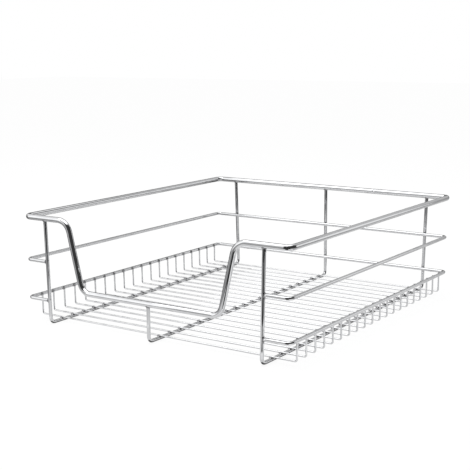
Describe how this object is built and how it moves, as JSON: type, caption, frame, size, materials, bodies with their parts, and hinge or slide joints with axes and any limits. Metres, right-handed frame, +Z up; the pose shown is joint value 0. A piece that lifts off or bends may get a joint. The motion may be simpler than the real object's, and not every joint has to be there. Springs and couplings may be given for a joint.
{
  "type": "pull-out cabinet basket",
  "caption": "Chromed wire basket that pulls out of a kitchen base cabinet, with a thick rim rod that dips at the front for the hand, side rails and a floor of thin cross wires.",
  "frame": {"origin": "centre of the basket's footprint, on the surface that the runners stand on", "axes": "+X to the right seen from the front, +Y to the back, so the dipped front faces -Y, +Z up"},
  "size_m": [0.438, 0.478, 0.154],
  "materials": {
    "rim_chrome": "bright chrome plate on a polished steel rod",
    "frame_chrome": "bright chrome plate on drawn steel wire",
    "floor_chrome": "bright chrome plate on thin drawn steel wire"
  },
  "bodies": {
    "root": {"rim": "rim_chrome", "mid_rail": "frame_chrome", "lower_rail": "frame_chrome", "left_runner": "frame_chrome", "middle_runner": "frame_chrome", "right_runner": "frame_chrome", "floor_wire_01": "floor_chrome", "floor_wire_02": "floor_chrome", "floor_wire_03": "floor_chrome", "floor_wire_04": "floor_chrome", "floor_wire_05": "floor_chrome", "floor_wire_06": "floor_chrome", "floor_wire_07": "floor_chrome", "floor_wire_08": "floor_chrome", "floor_wire_09": "floor_chrome", "floor_wire_10": "floor_chrome", "floor_wire_11": "floor_chrome", "floor_wire_12": "floor_chrome", "floor_wire_13": "floor_chrome", "floor_wire_14": "floor_chrome", "floor_wire_15": "floor_chrome", "floor_wire_16": "floor_chrome", "floor_wire_17": "floor_chrome", "floor_wire_18": "floor_chrome", "floor_wire_19": "floor_chrome", "floor_wire_20": "floor_chrome"}
  },
  "joints": []
}
